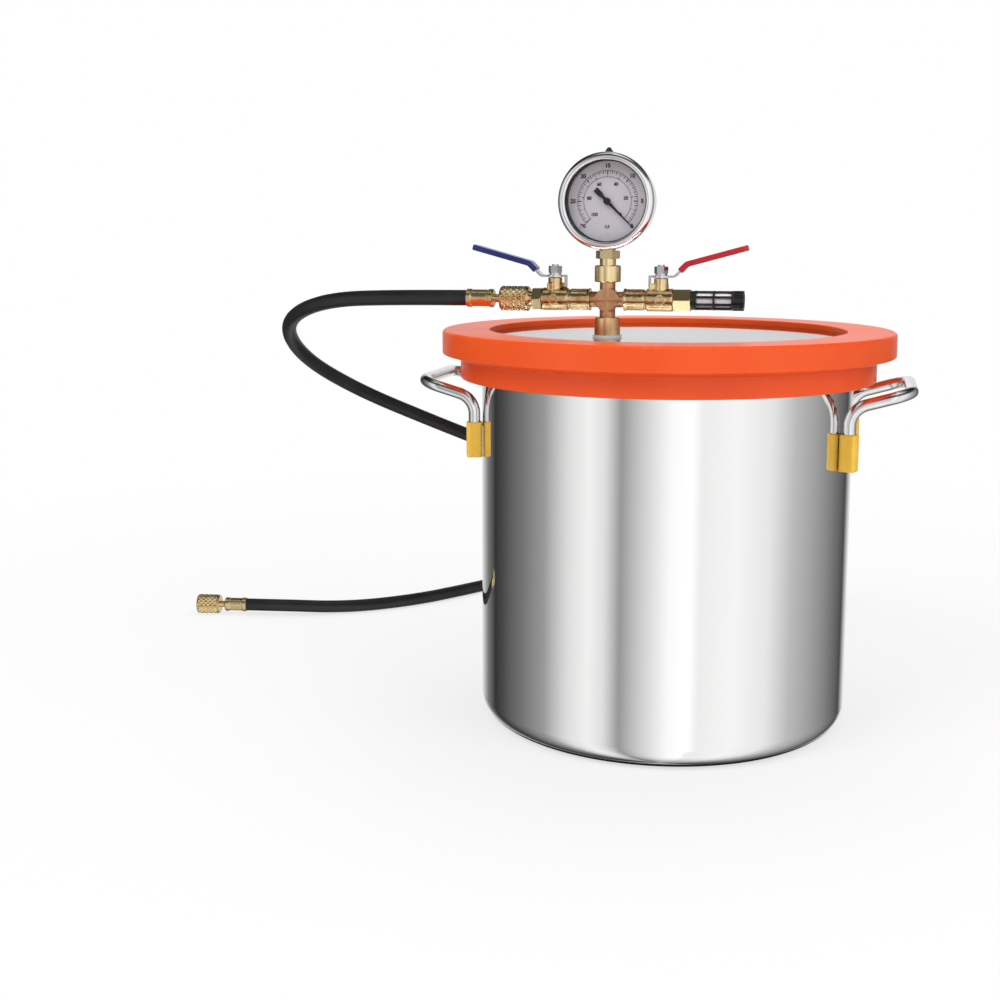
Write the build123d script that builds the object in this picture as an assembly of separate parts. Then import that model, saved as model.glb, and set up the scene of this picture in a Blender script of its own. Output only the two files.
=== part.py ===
"""Vacuum chamber of about 12 litres: a drawn stainless pot with two wire handles, a clear lid in a
silicone ring, and on the lid a brass manifold with two quarter-turn valves, a bourdon gauge, an air
filter and a vacuum hose.  Millimetres, +Z up, origin on the floor under the middle of the pot; the
gauge faces -Y and the manifold runs along X."""

import os
from math import atan2, cos, degrees, pi, radians, sin, sqrt, tan

from build123d import *

# ---------------------------------------------------------------- pot
pot_outer_radius = 126.0
pot_wall = 1.2
pot_height = 248.0  # floor to the top of the rolled rim
pot_corner_radius = 14.0
base_ring_width = 11.0  # flat ring that it stands on, inside the corner
base_recess_depth = 1.6
base_recess_slope = 5.0
rim_reach = 6.8  # wall to the middle of the rolled bead
rim_bead_radius = 2.2
rim_inner_fillet = 1.6

# ---------------------------------------------------------------- wire handles
rod_radius = 4.0
handle_half_width = 43.0  # middle of the pot's side to each leg
handle_standoff = 1.6  # air between rod and wall
handle_bend_drop = 26.0  # rim's top to the bend
handle_leg_length = 39.0
handle_reach = 36.5  # pot's wall to the middle of the outer bar
handle_rise = 11.0  # how far the loop climbs outwards
handle_bend_radius = 14.0
weld_pad_width = 4.4
weld_pad_height = 20.0
sleeve_wall = 1.2
sleeve_height = 24.0
sleeve_drop = 1.2  # sleeve below the rod's end
sleeve_corner_radius = 2.2
sleeve_gap = 0.15

# ---------------------------------------------------------------- lid and its ring
fit_gap = 0.2
hex_chamfer_slope = 0.6
disc_overhang = 11.0  # disc past the rolled rim
disc_thickness = 14.0
disc_edge = 0.8
ring_wall = 6.8  # silicone round the disc's edge
ring_lip = 3.6  # silicone above the disc
ring_cover = 25.0  # lip over the disc's edge
web_thickness = 3.0  # silicone between rim and disc
web_reach = 9.0  # web inside the pot's wall
ring_undercut = 1.6  # step of the ring above the rim's top
skirt_wall = 5.4
skirt_depth = 12.0  # skirt below the rim's top
ring_round = 2.4
ring_small_round = 0.8

# ---------------------------------------------------------------- manifold on the lid
manifold_x = -34.0
manifold_y = -39.0
washer_thickness = 1.5
washer_radius = 9.6
lid_fitting_radius = 8.6
lid_fitting_height = 12.0
turned_edge = 0.6  # broken corners of the turned brass
lid_stem_radius = 6.4
lid_nut_across_flats = 19.0
lid_nut_height = 5.0
lid_stem_overhang = 2.0  # stem past the nut
pipe_thread_radius = 4.8
pipe_thread_length = 8.0
pipe_bore_radius = 2.6
socket_clearance = 0.1
socket_extra_depth = 1.0
cross_half_height = 11.5  # cross centre to the end of an upright arm's body
cross_half_length = 11.2
cross_arm_radius = 5.2
cross_hub = 14.4
cross_hub_depth = 10.0
cross_hub_chamfer = 3.6
coupling_radius = 8.7
coupling_height = 11.0
coupling_neck_radius = 5.4

# ---------------------------------------------------------------- ball valves
valve_socket_radius = 7.0
valve_socket_length = 13.2
valve_collar_height = 0.5
valve_collar_length = 1.1
valve_neck_radius = 6.4
valve_neck_length = 1.4
valve_body_radius = 7.5
valve_body_length = 18.2
valve_edge = 0.7
stem_offset = 35.4  # cross centre to the stem's axis
ball_radius = 5.5
ball_port_radius = 3.0
ball_clearance = 0.12
cavity_radius = 5.95
seat_radius = 5.8
seat_length = 2.6
seat_backing = 0.95  # ball's side to the seat's outer face
spigot_gap = 0.05
end_hex_across_flats = 14.0
red_end_length = 11.2
blue_end_length = 6.2
tower_radius = 4.7
tower_top = 14.2  # above the pipe's axis
stem_radius = 2.5
stem_clearance = 0.1
packing_radius = 3.5
packing_base = 9.4
packing_height = 3.2
gland_height = 1.4
slot_width = 2.4
slot_clearance = 0.1
slot_depth = 1.8
lug_reach = 8.2
lug_width = 2.0
lug_base = 6.0
lug_top = 10.6
lug_clearance_degrees = 2.0

# ---------------------------------------------------------------- levers
lever_gap = 0.35  # tower top to the lever's underside
lever_thickness = 1.5
lever_width = 8.6
lever_pad_radius = 6.0
lever_flat = 9.0  # stem axis to the first bend
lever_kink_run = 8.0
lever_kink_rise = 8.2
lever_length = 55.0
lever_rise = 18.6
lever_bend_radius = 3.5
grip_wall = 1.1
grip_overhang = 1.2
grip_tip_radius = 2.9
grip_start_share = 0.45  # of the kink, where the sleeve begins
tab_radius = 7.4
tab_width = 3.8
tab_bottom = 8.4
spring_washer_height = 1.2
lever_nut_across_flats = 8.0
lever_nut_height = 4.6
stem_thread_radius = 2.2
stem_overhang = 1.1
valve_turn_degrees = 90.0

# ---------------------------------------------------------------- air filter
filter_collar_radius = 6.2
filter_collar_length = 3.8
filter_cage_radius = 6.4
filter_cage_wall = 1.2
filter_cage_length = 23.4
filter_window_count = 8
filter_window_width = 3.3
filter_window_length = 10.6
filter_window_rows = 2
filter_band = 1.3
filter_cap_radius = 6.5
filter_cap_length = 7.0
filter_cap_rib_count = 20
filter_cap_rib_width = 0.9
filter_cap_rib_depth = 0.5
felt_radius = 5.0
felt_end_wall = 3.0
filter_cap_rib_margin = 1.0
filter_cap_rim = 1.6
filter_cap_dish_depth = 1.0

# ---------------------------------------------------------------- gauge
gauge_centre_height = 64.0  # above the cross centre
gauge_hex_across_flats = 14.0
gauge_hex_height = 5.4
gauge_neck_length = 4.2
gauge_neck_radius = 5.0
case_radius = 30.2
case_wall = 0.9
case_back = 13.0  # stem axis to the back of the case
case_front = 10.6
case_round = 3.0
bezel_wall = 1.4  # ring outside the case
bezel_cover = 3.6  # ring over the window, inside the case's side
bezel_length = 7.6
bezel_round = 1.3
bezel_lip = 1.2  # ring in front of the window
bezel_gap = 0.1
window_thickness = 2.2
window_seal_width = 2.0
window_seal_thickness = 1.2
dial_gap = 0.9  # dial's edge to the case's inside
dial_thickness = 0.6
dial_plane = 4.2  # dial's front face, before the stem axis
dial_hole_radius = 1.6
pointer_plane = 5.6
pointer_thickness = 0.5
pointer_tip_length = 21.5
pointer_tail_length = 11.0
pointer_root_width = 2.0
pointer_tip_width = 0.6
pointer_tail_width = 3.4
pointer_tail_flat = 5.0
pointer_tail_taper = 1.6
pointer_hub_radius = 2.3
pointer_hub_height = 1.6
pointer_hub_back = 0.4  # hub behind the blade
pointer_hub_cap = 0.5  # closed front of the hub
pointer_rest_degrees = -45.0  # below the +X direction, at zero vacuum
arbor_radius = 0.8
arbor_clearance = 0.08
movement_plate_radius = 6.4
movement_plate_thickness = 1.2
movement_pillar_radius = 0.9
movement_back_plane = -5.4
movement_front_plane = 1.6
movement_leg_width = 7.6
movement_leg_lap = 5.2  # leg beside the back plate
arbor_disc_radius = 2.0
arbor_disc_thickness = 1.6
tube_coil_radius = 19.0
tube_axial_width = 5.6
tube_radial_width = 2.4
tube_plane = -4.6
tube_start_degrees = -72.0
tube_sweep_degrees = 262.0
block_width = 13.0
block_front = 3.0  # stem axis to the block's front face
block_back = 5.4
block_top = -15.2  # below the gauge's middle
block_bore_stop = 4.0  # solid brass above the bore
plug_radius = 3.4
plug_tip_radius = 0.9
plug_height = 4.6
plug_seat = 1.2
plug_gap = 0.2
plug_rim_height = 0.8

# ---------------------------------------------------------------- hose and its ends
hose_radius = 5.3
hose_first_run = 62.0
floor_gap = 0.2
flare_neck_radius = 4.9
flare_neck_length = 2.2
flare_thread_radius = 5.5
flare_thread_length = 8.6
flare_nose_length = 2.6
flare_nose_radius = 3.2
flare_bore_radius = 2.4
nut_radius = 8.3
nut_length = 19.8
nut_gap = 0.4  # flare neck's shoulder to the nut's mouth
nut_chamfer = 0.9
nut_thread_clearance = 0.1
nut_back_wall = 5.0
nut_thread_depth = 11.0
nut_chamber_radius = 5.0
nipple_head_radius = 4.6
nipple_head_length = 3.8
nipple_cone_depth = 1.0
nipple_bore_radius = 1.6
nipple_neck_radius = 2.7
nipple_neck_clearance = 0.1
nipple_neck_out = 4.7  # neck seen between nut and ferrule
ferrule_radius = 6.2
ferrule_waist_radius = 5.75
ferrule_length = 19.0
ferrule_wall_back = 1.3
ferrule_bore_clearance = 0.1
ferrule_neck_clearance = 0.05
ferrule_belt_length = 3.2
ferrule_taper_length = 1.0
ferrule_edge = 0.8

# ---------------------------------------------------------------- places worked out from the sizes above
disc_base_z = pot_height + web_thickness
disc_top_z = disc_base_z + disc_thickness
ring_top_z = disc_top_z + ring_lip
rim_outer_radius = pot_outer_radius + rim_reach + rim_bead_radius
disc_radius = rim_outer_radius + disc_overhang
ring_outer_radius = disc_radius + fit_gap + ring_wall
ring_opening_radius = disc_radius - ring_cover
web_inner_radius = pot_outer_radius - web_reach
lid_fitting_base_z = disc_top_z + washer_thickness
lid_fitting_top_z = lid_fitting_base_z + lid_fitting_height
cross_z = lid_fitting_top_z + cross_half_height
coupling_base_z = cross_z + cross_half_height
gauge_z = cross_z + gauge_centre_height
bezel_radius = case_radius + bezel_wall
bezel_opening_radius = case_radius - bezel_cover
dial_radius = case_radius - case_wall - dial_gap
valve_shoulder = cross_half_length + valve_socket_length + valve_neck_length
valve_end = valve_shoulder + valve_body_length
seat_reach = ball_radius + seat_backing
cavity_start = stem_offset - seat_reach
spigot_start = stem_offset + seat_reach
lever_z = tower_top + lever_gap
nut_mouth = valve_end + blue_end_length + flare_neck_length + nut_gap
hose_start = nut_mouth + nut_length + nipple_neck_out + ferrule_wall_back

PARTS = "parts"


def turned(outline):
    """A solid turned about Z from (radius, height) points."""
    return revolve(Plane.XZ * make_face(Polyline(*outline, close=True)), Axis.Z, 360)


def rounded(face, rounds):
    """The face with the corner at each (x, y) of rounds filleted to its radius."""
    for (x, y), radius in rounds.items():
        corner = face.vertices().sort_by_distance((x, y, 0))[0]
        face = fillet(corner, radius)
    return face


def upright(shape, z=0.0):
    """A piece built about Z, stood on the manifold's upright."""
    return Location((manifold_x, manifold_y, z)) * shape


def along_pipe(shape, side):
    """A piece built along +Z from the cross centre, laid along the pipe on side +1 (right) or -1 (left)."""
    plane = Plane(origin=(manifold_x, manifold_y, cross_z), x_dir=(0, side, 0), z_dir=(side, 0, 0))
    return plane * shape


def at_stem(shape, side):
    """A piece built about Z from the pipe's axis with its lever along +X, stood on a valve's stem."""
    turn = 0 if side > 0 else 180
    place = (manifold_x + side * stem_offset, manifold_y, cross_z)
    return Location(place, (0, 0, turn)) * shape


def at_gauge(shape):
    """A piece built with its front along +Z and its top along +Y, put in the gauge."""
    return Plane(origin=(manifold_x, manifold_y, gauge_z), x_dir=(1, 0, 0), z_dir=(0, -1, 0)) * shape


def hexagon(across_flats, height):
    """A hexagonal bar standing on Z zero, with its corners turned off at both ends."""
    bar = extrude(RegularPolygon(across_flats / 2, 6, major_radius=False), height)
    tip = across_flats / 2 / cos(pi / 6)
    chamfer_height = (tip - across_flats / 2) * hex_chamfer_slope
    cone = turned(
        [
            (0, 0),
            (tip - chamfer_height, 0),
            (tip, chamfer_height),
            (tip, height - chamfer_height),
            (tip - chamfer_height, height),
            (0, height),
        ]
    )
    return bar & cone


def rod(radius, start, end):
    """A round bar about Z from start to end."""
    return Pos(0, 0, start) * Cylinder(radius, end - start, align=(Align.CENTER, Align.CENTER, Align.MIN))


# ================================================================ pot
def pot_shell():
    outer, inner = pot_outer_radius, pot_outer_radius - pot_wall
    flange_z = pot_height - rim_bead_radius
    foot = outer - pot_corner_radius - base_ring_width
    recess = foot - base_recess_slope
    outline = [
        (0, base_recess_depth),
        (recess, base_recess_depth),
        (foot, 0),
        (outer, 0),
        (outer, flange_z - pot_wall / 2),
        (outer + rim_reach, flange_z - pot_wall / 2),
        (outer + rim_reach, flange_z + pot_wall / 2),
        (inner, flange_z + pot_wall / 2),
        (inner, pot_wall),
        (foot, pot_wall),
        (recess, base_recess_depth + pot_wall),
        (0, base_recess_depth + pot_wall),
    ]
    face = make_face(Polyline(*outline, close=True))
    rounds = {
        (outer, 0): pot_corner_radius,
        (inner, pot_wall): pot_corner_radius - pot_wall,
        (inner, flange_z + pot_wall / 2): rim_inner_fillet,
    }
    shell = revolve(Plane.XZ * rounded(face, rounds), Axis.Z, 360)
    return shell + Pos(0, 0, flange_z) * Torus(outer + rim_reach, rim_bead_radius)


# ================================================================ wire handles
leg_radius_from_axis = pot_outer_radius + handle_standoff + rod_radius
leg_x = sqrt(leg_radius_from_axis**2 - handle_half_width**2)
leg_angle = degrees(atan2(handle_half_width, leg_x))
handle_bend_z = pot_height - handle_bend_drop
handle_foot_z = handle_bend_z - handle_leg_length
handle_bar_x = pot_outer_radius + handle_reach


def wire_handle(side):
    """One bent rod: leg up the wall, out and up, across, and back down, with a weld pad at each foot."""
    half = handle_half_width
    route = [
        (leg_x, -half, handle_foot_z),
        (leg_x, -half, handle_bend_z),
        (handle_bar_x, -half, handle_bend_z + handle_rise),
        (handle_bar_x, half, handle_bend_z + handle_rise),
        (leg_x, half, handle_bend_z),
        (leg_x, half, handle_foot_z),
    ]
    path = FilletPolyline(*route, radius=handle_bend_radius)
    section = Plane(origin=route[0], z_dir=(0, 0, 1)) * Circle(rod_radius)
    handle = sweep(section, path)
    for y_side in (-1, 1):
        reach = handle_standoff + rod_radius
        pad = Box(reach, weld_pad_width, weld_pad_height, align=(Align.MAX, Align.CENTER, Align.MIN))
        pad = Pos(leg_radius_from_axis, 0, handle_foot_z) * pad
        pad -= rod(pot_outer_radius, 0, pot_height)
        handle += Rot(0, 0, y_side * leg_angle) * pad
    return handle if side > 0 else Rot(0, 0, 180) * handle


def handle_sleeve(side, y_side):
    """A square vinyl sleeve pushed over one foot, open towards the wall where the weld pad is."""
    bore = rod_radius + sleeve_gap
    width = 2 * (bore + sleeve_wall)
    block = Box(width, width, sleeve_height, align=(Align.CENTER, Align.CENTER, Align.MIN))
    block = fillet(block.edges().filter_by(Axis.Z), sleeve_corner_radius)
    block -= rod(bore, sleeve_drop, sleeve_height)
    slot_half = weld_pad_width / 2 + sleeve_gap
    slot = Box(width, 2 * slot_half, sleeve_height, align=(Align.MAX, Align.CENTER, Align.MIN))
    block -= Pos(0, 0, sleeve_drop) * slot
    block = Pos(leg_radius_from_axis, 0, handle_foot_z - sleeve_drop) * block
    block -= rod(pot_outer_radius + sleeve_gap, 0, pot_height)
    turn = y_side * leg_angle + (0 if side > 0 else 180)
    return Rot(0, 0, turn) * block


# ================================================================ lid
def lid_gasket():
    """Moulded silicone: a groove for the disc above, a web on the rim, and a skirt round the rim."""
    groove = disc_radius + fit_gap
    skirt_inner = rim_outer_radius + fit_gap
    step_z = pot_height + ring_undercut
    outline = [
        (ring_opening_radius, disc_top_z),
        (ring_opening_radius, ring_top_z),
        (ring_outer_radius, ring_top_z),
        (ring_outer_radius, step_z),
        (skirt_inner + skirt_wall, step_z),
        (skirt_inner + skirt_wall, pot_height - skirt_depth),
        (skirt_inner, pot_height - skirt_depth),
        (skirt_inner, pot_height),
        (web_inner_radius, pot_height),
        (web_inner_radius, disc_base_z),
        (groove, disc_base_z),
        (groove, disc_top_z),
    ]
    face = make_face(Polyline(*outline, close=True))
    rounds = {
        (ring_opening_radius, ring_top_z): ring_small_round,
        (ring_outer_radius, ring_top_z): ring_round,
        (ring_outer_radius, step_z): ring_small_round,
        (skirt_inner + skirt_wall, step_z): ring_small_round,
        (skirt_inner + skirt_wall, pot_height - skirt_depth): ring_small_round,
    }
    return revolve(Plane.XZ * rounded(face, rounds), Axis.Z, 360)


def lid_disc():
    disc = rod(disc_radius, disc_base_z, disc_top_z)
    disc = chamfer(disc.edges().filter_by(GeomType.CIRCLE), disc_edge)
    return disc - upright(rod(lid_stem_radius + fit_gap, disc_base_z, disc_top_z))


def lid_fitting():
    """Turned brass: a round socket on the lid, and a threaded stem through it."""
    stem_end = disc_base_z - washer_thickness - lid_nut_height - lid_stem_overhang
    base, top = lid_fitting_base_z, lid_fitting_top_z
    socket = pipe_thread_radius + socket_clearance
    socket_floor = top - pipe_thread_length - socket_extra_depth
    outline = [
        (pipe_bore_radius, stem_end),
        (lid_stem_radius, stem_end),
        (lid_stem_radius, base),
        (lid_fitting_radius, base),
        (lid_fitting_radius, top - turned_edge),
        (lid_fitting_radius - turned_edge, top),
        (socket, top),
        (socket, socket_floor),
        (pipe_bore_radius, socket_floor),
    ]
    return upright(turned(outline))


def lid_washer(base_z):
    ring = rod(washer_radius, base_z, base_z + washer_thickness)
    return upright(ring - rod(lid_stem_radius + fit_gap, base_z, base_z + washer_thickness))


def lid_nut():
    base_z = disc_base_z - washer_thickness - lid_nut_height
    nut = Pos(0, 0, base_z) * hexagon(lid_nut_across_flats, lid_nut_height)
    return upright(nut - rod(lid_stem_radius + fit_gap / 2, base_z, base_z + lid_nut_height))


# ================================================================ manifold
def cross_fitting():
    """A forged cross: four round arms from a bevelled hub, each ending in a male pipe thread."""
    hub = Box(cross_hub, cross_hub_depth, cross_hub)
    hub = chamfer(hub.edges().filter_by(Axis.Y), cross_hub_chamfer)
    reach_x = cross_half_length + pipe_thread_length
    reach_z = cross_half_height + pipe_thread_length
    body = hub + rod(cross_arm_radius, -cross_half_height, cross_half_height)
    body += rod(pipe_thread_radius, -reach_z, reach_z)
    body += Rot(0, 90, 0) * rod(cross_arm_radius, -cross_half_length, cross_half_length)
    body += Rot(0, 90, 0) * rod(pipe_thread_radius, -reach_x, reach_x)
    body -= rod(pipe_bore_radius, -reach_z, reach_z)
    body -= Rot(0, 90, 0) * rod(pipe_bore_radius, -reach_x, reach_x)
    return upright(body, cross_z)


def gauge_coupling():
    """A round brass socket that joins the cross to the gauge's own thread."""
    base, top = coupling_base_z, coupling_base_z + coupling_height
    neck_top = top + gauge_neck_length
    socket = pipe_thread_radius + socket_clearance
    floor = base + pipe_thread_length + socket_extra_depth
    outline = [
        (socket, base),
        (coupling_radius - turned_edge, base),
        (coupling_radius, base + turned_edge),
        (coupling_radius, top - turned_edge),
        (coupling_radius - turned_edge, top),
        (coupling_neck_radius, top),
        (coupling_neck_radius, neck_top),
        (pipe_bore_radius, neck_top),
        (pipe_bore_radius, floor),
        (socket, floor),
    ]
    return upright(turned(outline))


# ================================================================ ball valves
def valve_body():
    """Forged brass, built along Z from the cross centre, with the stem tower along local +X."""
    mouth, collar = cross_half_length, valve_socket_radius + valve_collar_height
    socket = pipe_thread_radius + socket_clearance
    socket_floor = mouth + pipe_thread_length + socket_extra_depth
    neck_start = mouth + valve_socket_length
    outline = [
        (socket, mouth),
        (collar, mouth),
        (collar, mouth + valve_collar_length),
        (valve_socket_radius, mouth + valve_collar_length),
        (valve_socket_radius, neck_start),
        (valve_neck_radius, neck_start),
        (valve_neck_radius, valve_shoulder),
        (valve_body_radius, valve_shoulder + valve_edge),
        (valve_body_radius, valve_end - valve_edge),
        (valve_body_radius - valve_edge, valve_end),
        (cavity_radius, valve_end),
        (cavity_radius, cavity_start),
        (ball_port_radius, cavity_start),
        (ball_port_radius, socket_floor),
        (socket, socket_floor),
    ]
    return turned(outline)


def valve_tower():
    """The tower and its two stop lugs, built about Z from the pipe's axis, lever along +X."""
    tower = rod(tower_radius, ball_radius, tower_top)
    half_tab = degrees(tab_width / 2 / tab_radius)
    half_lug = degrees(lug_width / 2 / tab_radius)
    offset = half_tab + half_lug + lug_clearance_degrees
    for angle in (180 + offset, 180 - valve_turn_degrees - offset):
        lug = Box(lug_reach, lug_width, lug_top - lug_base, align=(Align.MIN, Align.CENTER, Align.MIN))
        tower += Rot(0, 0, angle) * (Pos(0, 0, lug_base) * lug)
    return tower


def valve_casting(side):
    body = along_pipe(valve_body(), side) + at_stem(valve_tower(), side)
    cavity = along_pipe(rod(cavity_radius, cavity_start, valve_end), side)
    body -= cavity
    body -= at_stem(rod(stem_radius + stem_clearance, 0, tower_top), side)
    body -= at_stem(rod(packing_radius, packing_base, tower_top), side)
    return body


def valve_seat(side, inner):
    """A PTFE ring with a hollow that takes the ball."""
    near = seat_reach - seat_length
    ring = rod(seat_radius, near, seat_reach) - rod(ball_port_radius, near, seat_reach)
    ring -= Sphere(ball_radius + ball_clearance)
    if inner:
        ring = Rot(180, 0, 0) * ring
    return along_pipe(Pos(0, 0, stem_offset) * ring, side)


def valve_ball(side):
    ball = Sphere(ball_radius) - Rot(0, 90, 0) * rod(ball_port_radius, -ball_radius, ball_radius)
    width = slot_width + 2 * slot_clearance
    slot = Box(2 * ball_radius, width, slot_depth, align=(Align.CENTER, Align.CENTER, Align.MAX))
    ball -= Pos(0, 0, ball_radius) * slot
    return at_stem(ball, side)


def valve_stem(side):
    """The stem: a flat tang in the ball's slot, a round shank, and a thread for the lever's nut."""
    tang_z = ball_radius - slot_depth + slot_clearance
    shank_top = lever_z
    thread_top = lever_z + lever_thickness + spring_washer_height + lever_nut_height + stem_overhang
    stem = rod(stem_radius, tang_z, shank_top) + rod(stem_thread_radius, shank_top, thread_top)
    flat = Box(2 * stem_radius, slot_width, slot_depth, align=(Align.CENTER, Align.CENTER, Align.MIN))
    below = rod(2 * stem_radius, tang_z, ball_radius + slot_clearance)
    tang = Pos(0, 0, tang_z) * flat & rod(stem_radius, tang_z, tang_z + slot_depth)
    return at_stem((stem - below) + tang, side)


def stem_packing(side):
    ring = rod(packing_radius, packing_base, packing_base + packing_height)
    ring -= rod(stem_radius + stem_clearance, packing_base, packing_base + packing_height)
    return at_stem(ring, side)


def gland_ring(side):
    base = packing_base + packing_height
    ring = rod(packing_radius, base, base + gland_height)
    return at_stem(ring - rod(stem_radius + stem_clearance, base, base + gland_height), side)


def red_valve_end():
    """A hexagonal end piece with a socket for the air filter."""
    end = valve_end + red_end_length
    piece = Pos(0, 0, valve_end) * hexagon(end_hex_across_flats, red_end_length)
    piece += rod(cavity_radius - spigot_gap, spigot_start, valve_end)
    piece -= rod(ball_port_radius, spigot_start, end)
    piece -= rod(pipe_thread_radius + socket_clearance, end - pipe_thread_length - socket_extra_depth, end)
    return along_pipe(piece, 1)


def blue_valve_end():
    """A hexagonal end piece that carries the male flare for the hose."""
    hex_end = valve_end + blue_end_length
    thread_start = hex_end + flare_neck_length
    thread_end = thread_start + flare_thread_length
    nose_end = thread_end + flare_nose_length
    piece = Pos(0, 0, valve_end) * hexagon(end_hex_across_flats, blue_end_length)
    piece += rod(cavity_radius - spigot_gap, spigot_start, valve_end)
    piece += turned(
        [
            (0, hex_end),
            (flare_neck_radius, hex_end),
            (flare_neck_radius, thread_start),
            (flare_thread_radius, thread_start),
            (flare_thread_radius, thread_end),
            (flare_nose_radius, nose_end),
            (0, nose_end),
        ]
    )
    return along_pipe(piece - rod(flare_bore_radius, spigot_start, nose_end), -1)


# ================================================================ levers
def lever_line():
    """The middle line of the lever's strip, in its own XZ plane, from behind the stem to its end."""
    return [
        (0, 0),
        (lever_flat, 0),
        (lever_flat + lever_kink_run, lever_kink_rise),
        (lever_length, lever_rise),
    ]


def strip(points, thickness, width):
    """A flat strip of the given thickness along points in XZ, centred on Y."""
    line = FilletPolyline(*points, radius=lever_bend_radius)
    face = Plane.XZ * trace(line, thickness)
    return extrude(face, width / 2, both=True)


def valve_lever(side):
    """A pressed steel strip with a round pad on the stem and a stop tab folded down behind it."""
    middle = lever_z + lever_thickness / 2
    bar = Pos(0, 0, middle) * strip(lever_line(), lever_thickness, lever_width)
    bar += rod(lever_pad_radius, lever_z, lever_z + lever_thickness)
    arm_length = tab_radius + lever_thickness / 2
    arm = Box(arm_length, tab_width, lever_thickness, align=(Align.MAX, Align.CENTER, Align.MIN))
    tab_height = lever_z + lever_thickness - tab_bottom
    tab = Box(lever_thickness, tab_width, tab_height, align=(Align.MIN, Align.CENTER, Align.MIN))
    bar += Pos(0, 0, lever_z) * arm
    bar += Pos(-arm_length, 0, tab_bottom) * tab
    bar -= rod(stem_thread_radius + slot_clearance, lever_z, lever_z + lever_thickness)
    return at_stem(bar, side)


def lever_grip(side):
    """A dipped vinyl sleeve over the lever's outer end."""
    middle = lever_z + lever_thickness / 2
    slope = (lever_rise - lever_kink_rise) / (lever_length - lever_flat - lever_kink_run)
    start = (lever_flat + grip_start_share * lever_kink_run, grip_start_share * lever_kink_rise)
    knee = lever_line()[2]
    stretch = lever_length + grip_overhang
    tip = (stretch, lever_rise + slope * grip_overhang)
    outer_width = lever_width + 2 * grip_wall
    outer = strip([start, knee, tip], lever_thickness + 2 * grip_wall, outer_width)
    tip_edges = outer.edges().filter_by(lambda e: e.center().X > stretch - lever_thickness)
    corners = tip_edges.filter_by(lambda e: abs(e.tangent_at(0.5).Y) < 0.1)
    outer = fillet(corners, grip_tip_radius)
    inner = strip(lever_line(), lever_thickness, lever_width)
    return at_stem(Pos(0, 0, middle) * (outer - inner), side)


def lever_spring_washer(side):
    base = lever_z + lever_thickness
    ring = rod(lever_nut_across_flats / 2, base, base + spring_washer_height)
    return at_stem(ring - rod(stem_thread_radius + slot_clearance, base, base + spring_washer_height), side)


def lever_nut(side):
    base = lever_z + lever_thickness + spring_washer_height
    nut = Pos(0, 0, base) * hexagon(lever_nut_across_flats, lever_nut_height)
    return at_stem(nut - rod(stem_thread_radius + slot_clearance / 2, base, base + lever_nut_height), side)


# ================================================================ air filter
filter_start = valve_end + red_end_length
cage_end = filter_start + filter_collar_length + filter_cage_length


def filter_cage():
    """A moulded cage with two rows of windows, on a male pipe thread."""
    thread_start = filter_start - pipe_thread_length
    collar_end = filter_start + filter_collar_length
    inner = filter_cage_radius - filter_cage_wall
    window_size = (2 * filter_cage_radius, filter_window_width, filter_window_length)
    window = Box(*window_size, align=(Align.MIN, Align.CENTER, Align.MIN))
    cage = rod(pipe_thread_radius, thread_start, filter_start)
    cage += rod(filter_collar_radius, filter_start, collar_end)
    cage += rod(filter_cage_radius, collar_end - filter_band, cage_end)
    cage -= rod(pipe_bore_radius, thread_start, cage_end)
    cage -= rod(inner, collar_end, cage_end)
    for row in range(filter_window_rows):
        start = collar_end + row * (filter_window_length + filter_band)
        for k in range(filter_window_count):
            cage -= Rot(0, 0, k * 360 / filter_window_count) * (Pos(0, 0, start) * window)
    return along_pipe(cage, 1)


def filter_felt():
    start = filter_start + filter_collar_length
    felt = rod(felt_radius, start, cage_end)
    return along_pipe(felt - rod(pipe_bore_radius, start, cage_end - felt_end_wall), 1)


def filter_cap():
    """A ribbed cap that closes the cage."""
    cap_end = cage_end + filter_cap_length
    middle = (cage_end + cap_end) / 2
    groove_length = filter_cap_length - 2 * filter_cap_rib_margin
    groove = Box(2 * filter_cap_rib_depth, filter_cap_rib_width, groove_length)
    cap = rod(filter_cap_radius, cage_end, cap_end)
    for k in range(filter_cap_rib_count):
        cap -= Rot(0, 0, k * 360 / filter_cap_rib_count) * (Pos(filter_cap_radius, 0, middle) * groove)
    dish = rod(filter_cap_radius - filter_cap_rim, cap_end - filter_cap_dish_depth, cap_end)
    return along_pipe(cap - dish, 1)


# ================================================================ gauge
def gauge_socket():
    """Brass: hexagon and neck below the case, and the block inside that feeds the bourdon tube."""
    base = coupling_base_z + coupling_height + gauge_neck_length
    hex_bar = hexagon(gauge_hex_across_flats, gauge_hex_height)
    block_z = gauge_z + block_top
    block_base_z = gauge_z - sqrt((case_radius - case_wall) ** 2 - (block_width / 2) ** 2)
    depth = block_front + block_back
    block = Box(block_width, depth, block_z - block_base_z, align=(Align.CENTER, Align.MIN, Align.MIN))
    piece = Pos(0, 0, base) * hex_bar + rod(gauge_neck_radius, base, block_base_z)
    piece += Pos(0, -block_front, block_base_z) * block
    piece -= rod(pipe_bore_radius, base, block_z - block_bore_stop)
    return upright(piece) - bourdon_tube()


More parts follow.
